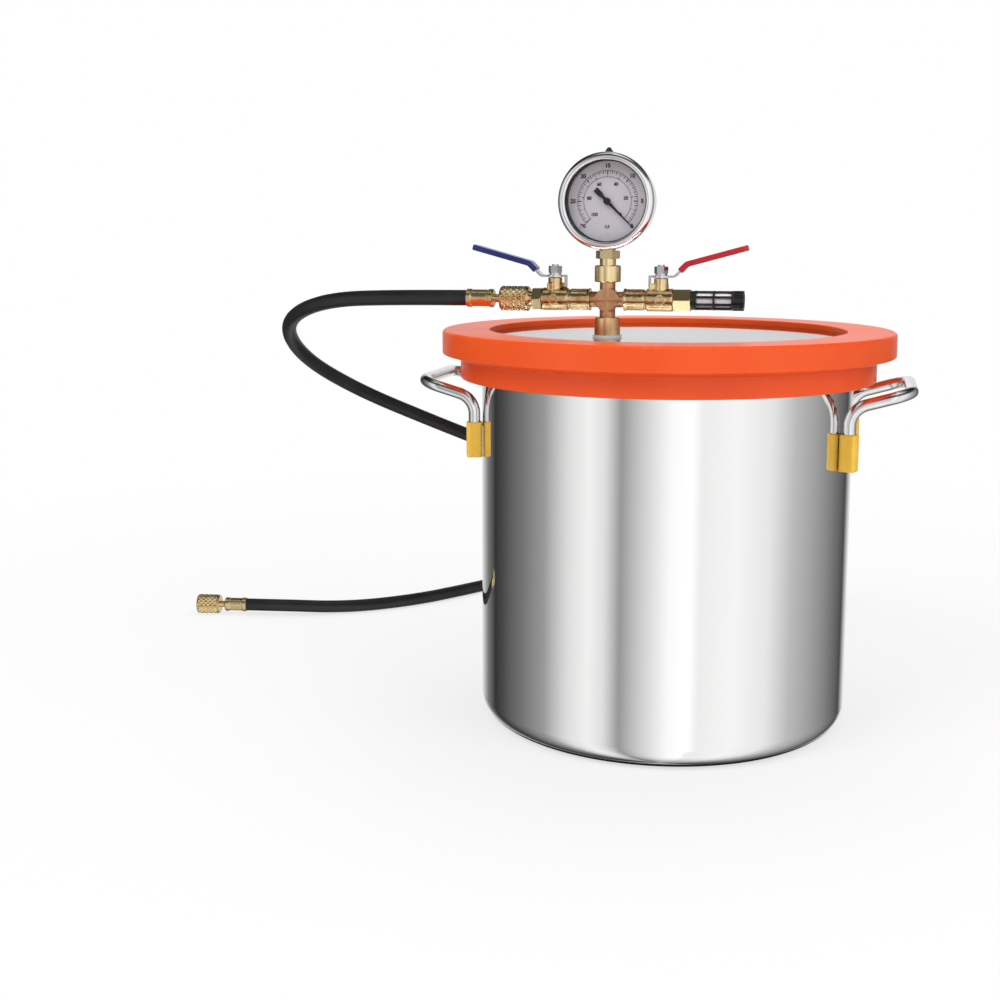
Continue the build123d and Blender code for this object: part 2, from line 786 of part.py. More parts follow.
def gauge_case():
    """A drawn steel cup, its mouth to the front, with holes for the socket and the filling plug."""
    outer = rod(case_radius, -case_back, case_front)
    outer = fillet(outer.edges().filter_by(GeomType.CIRCLE).sort_by(Axis.Z)[0], case_round)
    case = outer - rod(case_radius - case_wall, -case_back + case_wall, case_front)
    socket_hole = Rot(90, 0, 0) * rod(gauge_neck_radius + fit_gap / 2, 0, 2 * case_radius)
    plug_hole = Rot(-90, 0, 0) * rod(plug_tip_radius + plug_seat, 0, 2 * case_radius)
    return at_gauge(case - socket_hole - plug_hole)


def gauge_bezel():
    """A chromed ring rolled over the case's mouth."""
    front = case_front + window_thickness
    rim_front = front + bezel_lip
    back = rim_front - bezel_length
    outline = [
        (case_radius + fit_gap / 2, back),
        (bezel_radius, back),
        (bezel_radius, rim_front),
        (bezel_opening_radius, rim_front),
        (bezel_opening_radius, front + bezel_gap),
        (case_radius + fit_gap / 2, front + bezel_gap),
    ]
    face = make_face(Polyline(*outline, close=True))
    face = rounded(face, {(bezel_radius, rim_front): bezel_round})
    return at_gauge(revolve(Plane.XZ * face, Axis.Z, 360))


def gauge_window():
    return at_gauge(rod(case_radius - fit_gap / 2, case_front, case_front + window_thickness))


def gauge_window_seal():
    back = case_front - window_seal_thickness
    outer = case_radius - case_wall - fit_gap / 2
    ring = rod(outer, back, case_front)
    return at_gauge(ring - rod(outer - window_seal_width, back, case_front))


def gauge_dial():
    dial = rod(dial_radius, dial_plane - dial_thickness, dial_plane)
    return at_gauge(dial - rod(dial_hole_radius, dial_plane - dial_thickness, dial_plane))


hub_back_plane = pointer_plane - pointer_hub_back
arbor_front_plane = hub_back_plane + pointer_hub_height - pointer_hub_cap


def gauge_pointer():
    """A thin pressed needle with a broad tail, and its hub."""
    taper_x = pointer_tail_flat - pointer_tail_length
    upper = [
        (-pointer_tail_length, pointer_tail_width / 2),
        (taper_x, pointer_tail_width / 2),
        (taper_x + pointer_tail_taper, pointer_root_width / 2),
        (0, pointer_root_width / 2),
        (pointer_tip_length, pointer_tip_width / 2),
    ]
    lower = [(x, -y) for x, y in reversed(upper)]
    needle = Polyline(*upper, *lower, close=True)
    blade = Pos(0, 0, pointer_plane) * extrude(make_face(needle), pointer_thickness)
    hub = rod(pointer_hub_radius, hub_back_plane, hub_back_plane + pointer_hub_height)
    piece = blade + hub - rod(arbor_radius, hub_back_plane, arbor_front_plane)
    return at_gauge(Rot(0, 0, pointer_rest_degrees) * piece)


def pointer_arbor():
    """The pointer's steel shaft with its pinion blank between the movement's plates."""
    shaft = rod(arbor_radius, movement_back_plane - movement_plate_thickness, arbor_front_plane)
    middle = (movement_back_plane + movement_front_plane) / 2
    disc = rod(arbor_disc_radius, middle - arbor_disc_thickness / 2, middle + arbor_disc_thickness / 2)
    return at_gauge(shaft + disc)


def gauge_movement():
    """Two brass plates on pillars that carry the arbor, screwed to the socket's block."""
    hole = arbor_radius + arbor_clearance
    leg_back_plane = movement_back_plane - movement_plate_thickness
    back_plate = rod(movement_plate_radius, leg_back_plane, movement_back_plane)
    front_end = movement_front_plane + movement_plate_thickness
    front_plate = rod(movement_plate_radius, movement_front_plane, front_end)
    piece = back_plate + front_plate
    pillar = rod(movement_pillar_radius, movement_back_plane, movement_front_plane)
    pillar_circle = movement_plate_radius - 2 * movement_pillar_radius
    for k in range(4):
        piece += Rot(0, 0, 45 + 90 * k) * (Pos(pillar_circle, 0, 0) * pillar)
    leg_height = abs(block_top) - movement_leg_lap
    leg_size = (movement_leg_width, leg_height, movement_plate_thickness)
    leg = Box(*leg_size, align=(Align.CENTER, Align.MIN, Align.MAX))
    piece += Pos(0, block_top, movement_back_plane) * leg
    foot_depth = block_back - block_front + movement_plate_thickness
    foot_size = (movement_leg_width, movement_plate_thickness, foot_depth)
    foot = Box(*foot_size, align=(Align.CENTER, Align.MIN, Align.MIN))
    piece += Pos(0, block_top, leg_back_plane) * foot
    piece -= rod(hole, leg_back_plane, front_end)
    return at_gauge(piece)


def bourdon_tube():
    """A flattened tube bent to a C, soldered into the socket's block, its far end pinched shut."""
    start = radians(tube_start_degrees)
    begin = (tube_coil_radius * cos(start), tube_coil_radius * sin(start), tube_plane)
    path = CenterArc((0, 0, tube_plane), tube_coil_radius, tube_start_degrees, tube_sweep_degrees)
    tangent = (-sin(start), cos(start), 0)
    section_plane = Plane(origin=begin, x_dir=(0, 0, 1), z_dir=tangent)
    section = section_plane * SlotOverall(tube_axial_width, tube_radial_width)
    return at_gauge(sweep(section, path))


def gauge_fill_plug():
    """A rubber plug in the top of the case."""
    top = case_radius
    shank_radius = plug_tip_radius + plug_seat - fit_gap / 2
    outline = [
        (0, top - case_wall),
        (shank_radius, top - case_wall),
        (shank_radius, top + plug_gap),
        (plug_radius, top + plug_gap),
        (plug_radius, top + plug_gap + plug_rim_height),
        (plug_tip_radius, top + plug_height),
        (0, top + plug_height),
    ]
    return at_gauge(Rot(-90, 0, 0) * turned(outline))


# ================================================================ hose ends
def swivel_nut():
    """The knurled nut of a hose end, built along Z from its mouth."""
    thread = flare_thread_radius + nut_thread_clearance
    back = nut_length - nut_back_wall
    neck = nipple_neck_radius + nipple_neck_clearance
    return turned(
        [
            (thread, 0),
            (nut_radius - nut_chamfer, 0),
            (nut_radius, nut_chamfer),
            (nut_radius, nut_length - nut_chamfer),
            (nut_radius - nut_chamfer, nut_length),
            (neck, nut_length),
            (neck, back),
            (nut_chamber_radius, back),
            (nut_chamber_radius, nut_thread_depth),
            (thread, nut_thread_depth),
        ]
    )


def hose_nipple():
    """The brass nipple inside a hose end, built along Z from the nut's mouth."""
    back = nut_length - nut_back_wall
    tail = nut_length + nipple_neck_out + ferrule_wall_back
    outline = [
        (nipple_bore_radius, back - nipple_head_length + nipple_cone_depth),
        (nipple_head_radius, back - nipple_head_length),
        (nipple_head_radius, back),
        (nipple_neck_radius, back),
        (nipple_neck_radius, tail),
        (nipple_bore_radius, tail),
    ]
    return turned(outline)


def hose_ferrule():
    """A crimped brass shell over the hose's end, built along Z from the nut's mouth."""
    start = nut_length + nipple_neck_out
    end = start + ferrule_length
    bore = hose_radius + ferrule_bore_clearance
    neck = nipple_neck_radius + ferrule_neck_clearance
    waist_start = start + ferrule_belt_length + ferrule_taper_length
    waist_end = end - ferrule_belt_length - ferrule_taper_length
    outline = [
        (neck, start),
        (ferrule_radius - ferrule_edge, start),
        (ferrule_radius, start + ferrule_edge),
        (ferrule_radius, start + ferrule_belt_length),
        (ferrule_waist_radius, waist_start),
        (ferrule_waist_radius, waist_end),
        (ferrule_radius, end - ferrule_belt_length),
        (ferrule_radius, end),
        (bore, end),
        (bore, start + ferrule_wall_back),
        (neck, start + ferrule_wall_back),
    ]
    return turned(outline)


# ================================================================ hose
floor_z = hose_radius + floor_gap
end_axis_z = nut_radius + floor_gap
hose_x = manifold_x - hose_start
hose_route = [
    (hose_x, manifold_y, cross_z),
    (hose_x - hose_first_run, manifold_y, cross_z),
    (-226, -30, 287),
    (-266, 6, 272),
    (-277, 56, 250),
    (-257, 104, 226),
    (-214, 140, 200),
    (-160, 165, 172),
    (-98, 183, 140),
    (-34, 196, 102),
    (28, 212, 60),
    (82, 236, 24),
    (124, 272, floor_z),
    (140, 328, floor_z),
    (112, 378, floor_z),
    (56, 404, floor_z),
    (-10, 408, floor_z),
    (-76, 398, floor_z),
    (-134, 368, floor_z),
    (-180, 322, floor_z),
    (-214, 268, floor_z),
    (-252, 216, floor_z),
    (-302, 178, floor_z),
    (-356, 160, end_axis_z),
    (-404, 152, end_axis_z),
]


def corner_radii(points):
    """For each inner point, the radius that uses 0.45 of its shorter run."""
    radii = []
    for before, here, after in zip(points, points[1:], points[2:]):
        inward = Vector(*here) - Vector(*before)
        outward = Vector(*after) - Vector(*here)
        turn = inward.get_angle(outward)
        shorter = min(inward.length, outward.length)
        radii.append(0.45 * shorter / tan(radians(turn) / 2))
    return radii


def hose():
    radii = corner_radii(hose_route)
    path = FilletPolyline(*hose_route, radius=radii)
    first = Vector(*hose_route[1]) - Vector(*hose_route[0])
    section = Plane(origin=hose_route[0], z_dir=first.normalized()) * Circle(hose_radius)
    tube = sweep(section, path)
    print("hose radii", [round(r) for r in radii])
    runs = [(Vector(*b) - Vector(*a)).length for a, b in zip(hose_route, hose_route[1:])]
    print("hose runs", [round(r) for r in runs], "sum", round(sum(runs)))
    area = pi * hose_radius**2
    print("hose length", round(path.length, 1), "volume ratio", round(tube.volume / (area * path.length), 4))
    return tube


def far_end(shape):
    """A hose-end piece built from its nut's mouth, put on the hose's loose end, mouth outwards."""
    last, before = Vector(*hose_route[-1]), Vector(*hose_route[-2])
    outward = (last - before).normalized()
    mouth = last + outward * (nut_length + nipple_neck_out + ferrule_wall_back)
    return Plane(origin=mouth, z_dir=outward * -1) * shape


def near_end(shape):
    return along_pipe(Pos(0, 0, nut_mouth) * shape, -1)


def pieces():
    """Every piece by its node name."""
    made = {
        "pot_shell": pot_shell(),
        "lid_gasket": lid_gasket(),
        "lid_disc": lid_disc(),
        "lid_fitting": lid_fitting(),
        "lid_washer_upper": lid_washer(disc_top_z),
        "lid_washer_lower": lid_washer(disc_base_z - washer_thickness),
        "lid_nut": lid_nut(),
        "cross_fitting": cross_fitting(),
        "gauge_coupling": gauge_coupling(),
        "gauge_socket": gauge_socket(),
        "gauge_case": gauge_case(),
        "gauge_bezel": gauge_bezel(),
        "gauge_window": gauge_window(),
        "gauge_window_seal": gauge_window_seal(),
        "gauge_dial": gauge_dial(),
        "gauge_pointer": gauge_pointer(),
        "pointer_arbor": pointer_arbor(),
        "gauge_movement": gauge_movement(),
        "bourdon_tube": bourdon_tube(),
        "gauge_fill_plug": gauge_fill_plug(),
        "red_valve_end": red_valve_end(),
        "blue_valve_end": blue_valve_end(),
        "filter_cage": filter_cage(),
        "filter_felt": filter_felt(),
        "filter_cap": filter_cap(),
        "hose": hose(),
    }
    for name, side in (("right", 1), ("left", -1)):
        made[f"handle_{name}"] = wire_handle(side)
        for place, y_side in (("front", -side), ("back", side)):
            made[f"handle_sleeve_{name}_{place}"] = handle_sleeve(side, y_side)
    for colour, side in (("red", 1), ("blue", -1)):
        made[f"{colour}_valve_body"] = valve_casting(side)
        made[f"{colour}_valve_seat_inner"] = valve_seat(side, True)
        made[f"{colour}_valve_seat_outer"] = valve_seat(side, False)
        made[f"{colour}_valve_ball"] = valve_ball(side)
        made[f"{colour}_valve_stem"] = valve_stem(side)
        made[f"{colour}_stem_packing"] = stem_packing(side)
        made[f"{colour}_gland_ring"] = gland_ring(side)
        made[f"{colour}_lever"] = valve_lever(side)
        made[f"{colour}_lever_grip"] = lever_grip(side)
        made[f"{colour}_lever_washer"] = lever_spring_washer(side)
        made[f"{colour}_lever_nut"] = lever_nut(side)
    for place, put in (("chamber", near_end), ("pump", far_end)):
        made[f"hose_nut_{place}_end"] = put(swivel_nut())
        made[f"hose_nipple_{place}_end"] = put(hose_nipple())
        made[f"hose_ferrule_{place}_end"] = put(hose_ferrule())
    return made


os.makedirs(PARTS, exist_ok=True)
for node, shape in pieces().items():
    export_step(shape, f"{PARTS}/{node}.step")
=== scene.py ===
"""Looks of the vacuum chamber: finishes, knurls, dial, hose and studio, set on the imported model.
Metres, +Z up, origin on the floor under the pot. The gauge faces -Y, the hose leaves to -X."""

import math

import bmesh
import bpy
from mathutils import Matrix, Vector


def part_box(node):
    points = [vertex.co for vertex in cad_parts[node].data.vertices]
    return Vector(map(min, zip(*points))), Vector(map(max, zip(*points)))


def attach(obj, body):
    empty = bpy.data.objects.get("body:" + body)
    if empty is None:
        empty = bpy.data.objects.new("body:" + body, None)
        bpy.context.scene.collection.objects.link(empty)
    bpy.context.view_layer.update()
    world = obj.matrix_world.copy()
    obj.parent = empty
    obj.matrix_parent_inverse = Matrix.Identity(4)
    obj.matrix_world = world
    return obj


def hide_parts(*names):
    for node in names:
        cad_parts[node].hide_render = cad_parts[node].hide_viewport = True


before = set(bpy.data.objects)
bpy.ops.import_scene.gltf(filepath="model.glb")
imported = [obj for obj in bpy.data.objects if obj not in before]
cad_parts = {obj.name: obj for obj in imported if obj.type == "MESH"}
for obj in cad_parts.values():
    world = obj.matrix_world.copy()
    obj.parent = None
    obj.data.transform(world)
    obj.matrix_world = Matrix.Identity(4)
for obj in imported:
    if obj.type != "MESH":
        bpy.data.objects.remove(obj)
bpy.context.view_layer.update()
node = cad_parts

# ---- pot -------------------------------------------------------------------------------------------
# One deep-drawn stainless shell with a rolled rim and a shallow recess pressed into its base.
# It is polished to a mirror on its side, with faint drawing lines that run upwards.
first_tone_until = 0.35
second_tone_from = 0.68
patch_detail = 4.0
grain_detail = 3.0
smoothest_share = 0.8
roughest_share = 1.25


def link(tree, source, target):
    """Joins two sockets of a material or of the room's light."""
    tree.links.new(source, target)


def surface(
    name, colour, second, roughness, metallic=0.0,
    patch=0.02, grain=0.0008, depth=0.0, stretch=(1, 1, 1),
):
    """A finish with two close tones in soft patches and a grain of the given size and depth, in metres."""
    material = bpy.data.materials.new(name)
    material.use_nodes = True
    tree = material.node_tree
    shader = tree.nodes["Principled BSDF"]
    shader.inputs["Metallic"].default_value = metallic
    place = tree.nodes.new("ShaderNodeTexCoord")
    mapping = tree.nodes.new("ShaderNodeMapping")
    mapping.inputs["Scale"].default_value = stretch
    link(tree, place.outputs["Object"], mapping.inputs["Vector"])
    patches = tree.nodes.new("ShaderNodeTexNoise")
    patches.inputs["Scale"].default_value = 1 / patch
    patches.inputs["Detail"].default_value = patch_detail
    link(tree, mapping.outputs["Vector"], patches.inputs["Vector"])
    tones = tree.nodes.new("ShaderNodeValToRGB")
    tones.color_ramp.elements[0].position = first_tone_until
    tones.color_ramp.elements[0].color = (*colour, 1)
    tones.color_ramp.elements[1].position = second_tone_from
    tones.color_ramp.elements[1].color = (*second, 1)
    link(tree, patches.outputs["Fac"], tones.inputs["Fac"])
    link(tree, tones.outputs["Color"], shader.inputs["Base Color"])
    gloss = tree.nodes.new("ShaderNodeMapRange")
    gloss.inputs["To Min"].default_value = roughness * smoothest_share
    gloss.inputs["To Max"].default_value = roughness * roughest_share
    link(tree, patches.outputs["Fac"], gloss.inputs["Value"])
    link(tree, gloss.outputs["Result"], shader.inputs["Roughness"])
    if depth:
        fine = tree.nodes.new("ShaderNodeTexNoise")
        fine.inputs["Scale"].default_value = 1 / grain
        fine.inputs["Detail"].default_value = grain_detail
        link(tree, mapping.outputs["Vector"], fine.inputs["Vector"])
        bump = tree.nodes.new("ShaderNodeBump")
        bump.inputs["Distance"].default_value = depth
        link(tree, fine.outputs["Fac"], bump.inputs["Height"])
        link(tree, bump.outputs["Normal"], shader.inputs["Normal"])
    return material


def dress(material, *names):
    """Gives the CAD nodes of these names the material."""
    for name in names:
        for holder in node[name].material_slots:
            holder.material = material


mirror_steel = surface(
    "mirror_steel", (0.93, 0.925, 0.92), (0.90, 0.90, 0.90), roughness=0.045, metallic=1.0,
    patch=0.06, grain=0.003, depth=0.000004, stretch=(1, 1, 0.05),
)
dress(mirror_steel, "pot_shell")

# ---- wire handles ----------------------------------------------------------------------------------
# Two loops of polished stainless rod, bent cold, one at each side of the pot.
# Their feet are welded to its wall on small pads.
rod_steel = surface(
    "rod_steel", (0.86, 0.85, 0.85), (0.78, 0.77, 0.77), roughness=0.09, metallic=1.0,
    patch=0.01, grain=0.0009, depth=0.000006,
)
dress(rod_steel, "handle_right", "handle_left")

# ---- handle sleeves --------------------------------------------------------------------------------
# Soft amber vinyl blocks pushed over the feet of the handles, slit on the wall side for the weld.
# Their edges are rounded, as they come from the mould, and the skin is faintly pebbled.
sleeve_voxel = 0.0006
sleeve_passes = 5


def link_piece(piece, material, slot, body, *replaced):
    """Puts a finished piece in the scene, on its body, in place of the CAD nodes that it stands for."""
    if piece.name not in bpy.context.scene.collection.objects:
        bpy.context.scene.collection.objects.link(piece)
    piece.data.materials.clear()
    piece.data.materials.append(material)
    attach(piece, body)
    if replaced:
        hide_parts(*replaced)


def softened(name, voxel, passes):
    """A copy of a CAD piece, skinned again so that its edges round over as on a cast or moulded part."""
    piece = bpy.data.objects.new(name + "_skin", node[name].data.copy())
    skin = piece.modifiers.new("skin", "REMESH")
    skin.mode = "VOXEL"
    skin.voxel_size = voxel
    skin.use_smooth_shade = True
    rounding = piece.modifiers.new("rounding", "SMOOTH")
    rounding.factor = 0.5
    rounding.iterations = passes
    return piece


amber_vinyl = surface(
    "amber_vinyl", (0.93, 0.53, 0.040), (0.97, 0.60, 0.06), roughness=0.36,
    patch=0.012, grain=0.0007, depth=0.00004,
)
for side in ("right", "left"):
    for foot in ("front", "back"):
        name = f"handle_sleeve_{side}_{foot}"
        sleeve = softened(name, sleeve_voxel, sleeve_passes)
        link_piece(sleeve, amber_vinyl, "yellow_vinyl", "chamber", name)

# ---- lid ring --------------------------------------------------------------------------------------
# Moulded orange silicone: it grips the disc's edge, seals on the rolled rim and hangs round it.
# Satin, a little waxy, with light passing a short way into it.
skirt_top = 0.2496
step_height = 0.0020
step_radius = 0.1470
step_lift = 0.0030
orange_silicone = surface(
    "orange_silicone", (0.84, 0.078, 0.003), (0.89, 0.094, 0.005), roughness=0.31,
    patch=0.05, grain=0.0012, depth=0.00002,
)
waxy = orange_silicone.node_tree.nodes["Principled BSDF"]
waxy.inputs["Subsurface Weight"].default_value = 0.05
waxy.inputs["Subsurface Radius"].default_value = (0.006, 0.002, 0.001)
waxy.inputs["Subsurface Scale"].default_value = 1.0
waxy.inputs["Specular IOR Level"].default_value = 0.45
ring_skin = node["lid_gasket"].data.copy()
for corner in ring_skin.vertices:
    if math.hypot(corner.co.x, corner.co.y) > step_radius and corner.co.z < skirt_top + step_height:
        corner.co.z += step_lift
lid_ring = bpy.data.objects.new("lid_ring", ring_skin)
link_piece(lid_ring, orange_silicone, "orange_silicone", "chamber", "lid_gasket")

# ---- lid -------------------------------------------------------------------------------------------
# A 14 mm disc of clear cast acrylic, laser cut, with polished faces and one hole for the manifold.
# It lies in the groove of the lid ring.
clear_acrylic = surface("clear_acrylic", (0.93, 0.93, 0.96), (0.90, 0.90, 0.94), roughness=0.03, patch=0.2)
acrylic = clear_acrylic.node_tree.nodes["Principled BSDF"]
acrylic.inputs["IOR"].default_value = 1.49
acrylic.inputs["Transmission Weight"].default_value = 1.0
dress(clear_acrylic, "lid_disc")

# ---- lid fitting, its washers and nut --------------------------------------------------------------
# A turned brass stem stands through the lid between soft washers, pulled down by a nut below.
# The upper washer is pale silicone, the lower one black rubber.
turned_brass = surface(
    "turned_brass", (0.91, 0.74, 0.42), (0.84, 0.64, 0.32), roughness=0.20, metallic=1.0,
    patch=0.012, grain=0.0006, depth=0.000012, stretch=(0.15, 0.15, 1),
)
black_rubber = surface(
    "black_rubber", (0.016, 0.016, 0.017), (0.028, 0.028, 0.028), roughness=0.55,
    patch=0.01, grain=0.0006, depth=0.00002,
)
pale_silicone = surface(
    "pale_silicone", (0.60, 0.58, 0.56), (0.66, 0.64, 0.62), roughness=0.4,
    patch=0.006, grain=0.0006, depth=0.00001,
)
dress(turned_brass, "lid_fitting", "lid_nut")
dress(black_rubber, "lid_washer_lower")
dress(pale_silicone, "lid_washer_upper")

# ---- cross -----------------------------------------------------------------------------------------
# A forged brass cross, left as it came from the die: matt, pinkish and faintly sandy.
# Its edges are soft, and its four sockets take the lid fitting, the valves and the gauge.
cross_voxel = 0.0004
cross_passes = 5
forged_brass = surface(
    "forged_brass", (0.74, 0.45, 0.25), (0.66, 0.36, 0.17), roughness=0.36, metallic=1.0,
    patch=0.006, grain=0.0007, depth=0.00006,
)
cross = softened("cross_fitting", cross_voxel, cross_passes)
link_piece(cross, forged_brass, "brass", "chamber", "cross_fitting")

# ---- ball valves -----------------------------------------------------------------------------------
# Cast brass bodies with a stem tower and stop lugs, tumbled bright, their sockets turned afterwards.
# Inside each are a bored ball, two PTFE seats, a packing ring and a gland.
casting_voxel = 0.00038
casting_passes = 4
cast_brass = surface(
    "cast_brass", (0.90, 0.70, 0.38), (0.70, 0.44, 0.18), roughness=0.20, metallic=1.0,
    patch=0.005, grain=0.0016, depth=0.00014,
)
ptfe = surface(
    "ptfe", (0.85, 0.85, 0.83), (0.80, 0.80, 0.78), roughness=0.5,
    patch=0.004, grain=0.0004, depth=0.00001,
)
ball_chrome = surface(
    "ball_chrome", (0.85, 0.85, 0.86), (0.80, 0.80, 0.82), roughness=0.06, metallic=1.0, patch=0.004,
)
for colour in ("red", "blue"):
    name = f"{colour}_valve_body"
    casting = softened(name, casting_voxel, casting_passes)
    link_piece(casting, cast_brass, "brass", "chamber", name)
    dress(ptfe, f"{colour}_valve_seat_inner", f"{colour}_valve_seat_outer", f"{colour}_stem_packing")
    dress(ball_chrome, f"{colour}_valve_ball")
    dress(turned_brass, f"{colour}_gland_ring", f"{colour}_valve_end")

# ---- levers ----------------------------------------------------------------------------------------
# Pressed steel strips, zinc plated, on the square of the stem under a spring washer and a nut.
# Each one's outer part is dipped in vinyl, which is thicker and rounder at the tip.
dip_voxel = 0.0003
dip_passes = 18
zinc_plate = surface(
    "zinc_plate", (0.74, 0.74, 0.76), (0.62, 0.62, 0.65), roughness=0.20, metallic=1.0,
    patch=0.004, grain=0.0005, depth=0.000015,
)
dip_tones = {
    "red": ((0.50, 0.006, 0.018), (0.58, 0.012, 0.025)),
    "blue": ((0.010, 0.016, 0.13), (0.018, 0.028, 0.18)),
}
for colour, (tone, second) in dip_tones.items():
    zinc_parts = ("lever", "lever_washer", "lever_nut", "valve_stem")
    dress(zinc_plate, *(f"{colour}_{part}" for part in zinc_parts))
    dip = surface(f"{colour}_dip", tone, second, roughness=0.20, patch=0.006, grain=0.002, depth=0.0001)
    name = f"{colour}_lever_grip"
    grip = softened(name, dip_voxel, dip_passes)
    link_piece(grip, dip, f"{colour}_vinyl", f"{colour}_lever_set", name)

# ---- air filter ------------------------------------------------------------------------------------
# A moulded nylon cage with a ribbed cap, screwed into the red valve's end, round a roll of white felt.
# The felt shows through the windows of the cage.
black_nylon = surface(
    "black_nylon", (0.012, 0.012, 0.013), (0.022, 0.022, 0.023), roughness=0.33,
    patch=0.006, grain=0.0008, depth=0.00002,
)
white_felt = surface(
    "white_felt", (0.95, 0.95, 0.94), (0.90, 0.90, 0.89), roughness=0.95,
    patch=0.003, grain=0.0004, depth=0.00015,
)
dress(black_nylon, "filter_cage", "filter_cap")
dress(white_felt, "filter_felt")

# ---- gauge case, bezel and window ------------------------------------------------------------------
# A drawn steel cup with a bright rolled bezel, closed by a clear window. The window is pressed on a
# black moulded seal. Its skirt reaches down to the dial and hides the case's inside: a black lining
# that is painted shade for the inner wall of the recess.
crease_degrees = 32
gauge_sides = 192
roll_width = 0.0050
roll_rise = 0.00205
roll_steps = 28
roll_gap = 0.0001
skirt_radius = 0.0259
skirt_wall = 0.0008
skirt_gap = 0.0003
glass_share = 0.08


def turned(name, outline, sides, skin=None):
    """A closed (radius, height) outline turned about Z. Where it is given, skin says the true radius
    at each angle, outline radius and height."""
    mesh = bmesh.new()
    columns = []
    for k in range(sides):
        angle = 2 * math.pi * k / sides
        column = []
        for radius, height in outline:
            r = skin(angle, radius, height) if skin else radius
            column.append(mesh.verts.new((r * math.cos(angle), r * math.sin(angle), height)))
        columns.append(column)
    count = len(outline)
    for k in range(sides):
        here, after = columns[k], columns[(k + 1) % sides]
        for j in range(count):
            i = (j + 1) % count
            mesh.faces.new((here[j], after[j], after[i], here[i]))
    bmesh.ops.recalc_face_normals(mesh, faces=mesh.faces)
    data = bpy.data.meshes.new(name)
    mesh.to_mesh(data)
    mesh.free()
    data.shade_smooth()
    data.set_sharp_from_angle(angle=math.radians(crease_degrees))
    return bpy.data.objects.new(name, data)


bezel_low, bezel_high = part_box("gauge_bezel")
window_low, window_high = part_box("gauge_window")
seal_low, seal_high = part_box("gauge_window_seal")
dial_low, dial_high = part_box("gauge_dial")
coupling_low, coupling_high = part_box("gauge_coupling")
stem_y = (coupling_low[1] + coupling_high[1]) / 2
gauge_middle = Vector(((bezel_low[0] + bezel_high[0]) / 2, stem_y, (bezel_low[2] + bezel_high[2]) / 2))
facing_front = Matrix.Rotation(math.radians(90), 4, "X")
gauge_place = Matrix.Translation(gauge_middle) @ facing_front
bezel_radius = (bezel_high[0] - bezel_low[0]) / 2
bezel_back = stem_y - bezel_high[1]
window_front = stem_y - window_low[1]
window_back = stem_y - window_high[1]
window_side = (window_high[0] - window_low[0]) / 2 + roll_gap
bezel_outline = []
for k in range(roll_steps + 1):
    share = k / roll_steps
    level = window_back + (window_front + roll_gap - window_back) * share
    radius = bezel_radius - roll_width * (1 - math.cos(math.pi * share)) / 2
    bezel_outline.append((radius, level + roll_rise * math.sin(math.pi * share)))
bezel_outline += [
    (window_side, window_front + roll_gap),
    (window_side, bezel_back),
    (bezel_radius, bezel_back),
]
bezel_chrome = surface(
    "bezel_chrome", (0.90, 0.90, 0.91), (0.86, 0.86, 0.87), roughness=0.05, metallic=1.0,
    patch=0.02, grain=0.002, depth=0.000003,
)
rolled_bezel = turned("rolled_bezel", bezel_outline, gauge_sides)
rolled_bezel.data.transform(gauge_place)
link_piece(rolled_bezel, bezel_chrome, "gauge_steel", "chamber", "gauge_bezel")
dress(bezel_chrome, "gauge_case")

seal_radius = (seal_high[0] - seal_low[0]) / 2
seal_back = stem_y - seal_high[1]
skirt_foot = stem_y - dial_low[1] + skirt_gap
seal_outline = [
    (skirt_radius, skirt_foot),
    (skirt_radius, window_back),
    (seal_radius, window_back),
    (seal_radius, seal_back),
    (skirt_radius + skirt_wall, seal_back),
    (skirt_radius + skirt_wall, skirt_foot),
]
# The seal is real black rubber; its skirt down to the dial is a black lining, painted shade inside the
# case.
seal_with_shade_lining = turned("seal_with_shade_lining", seal_outline, gauge_sides)
seal_with_shade_lining.data.transform(gauge_place)
link_piece(seal_with_shade_lining, black_rubber, "black_rubber", "chamber", "gauge_window_seal")
gauge_glass = surface("gauge_glass", (0.06, 0.06, 0.06), (0.05, 0.05, 0.05), roughness=0.02, patch=0.05)
gauge_glass.node_tree.nodes["Principled BSDF"].inputs["Alpha"].default_value = glass_share
dress(gauge_glass, "gauge_window")

# ---- gauge socket, movement and plug ---------------------------------------------------------------
# The gauge stands on a turned brass socket, screwed into a coupling on the cross. Inside the case the
# movement and the bourdon tube are brass too. A black rubber plug closes the filling hole on top.
dress(turned_brass, "gauge_socket", "gauge_coupling", "gauge_movement", "bourdon_tube")
dress(black_rubber, "gauge_fill_plug")

# ---- rings on the valve castings -------------------------------------------------------------------
# The dies leave a plain raised ring on the front and back of each valve casting, below its stem.
# It is one with the casting, with a bevel on both edges.
casting_radius = 0.0075
ring_inner = 0.0024
ring_outer = 0.0038
ring_root = -0.0024
ring_shoulder = 0.0001
ring_crown = 0.0004
inner_bevel = 0.0003
outer_bevel = 0.0004
ring_sides = 64
end_low, end_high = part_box("blue_valve_end")
pipe_level = (end_low[2] + end_high[2]) / 2
ring_outline = [
    (ring_inner, ring_root),
    (ring_inner, ring_shoulder),
    (ring_inner + inner_bevel, ring_crown),
    (ring_outer - outer_bevel, ring_crown),
    (ring_outer, ring_shoulder),
    (ring_outer, ring_root),
]
for colour in ("red", "blue"):
    stem_low, stem_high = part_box(f"{colour}_valve_stem")
    centre = Vector(((stem_low[0] + stem_high[0]) / 2, stem_y, pipe_level))
    for face, degrees in (("front", 90), ("back", -90)):
        turn = Matrix.Rotation(math.radians(degrees), 4, "X")
        ring = turned(f"{colour}_casting_ring_{face}", ring_outline, ring_sides)
        ring.data.transform(turn @ Matrix.Translation((0, 0, casting_radius)))
        ring.data.transform(Matrix.Translation(centre))
        link_piece(ring, cast_brass, "brass", "chamber")

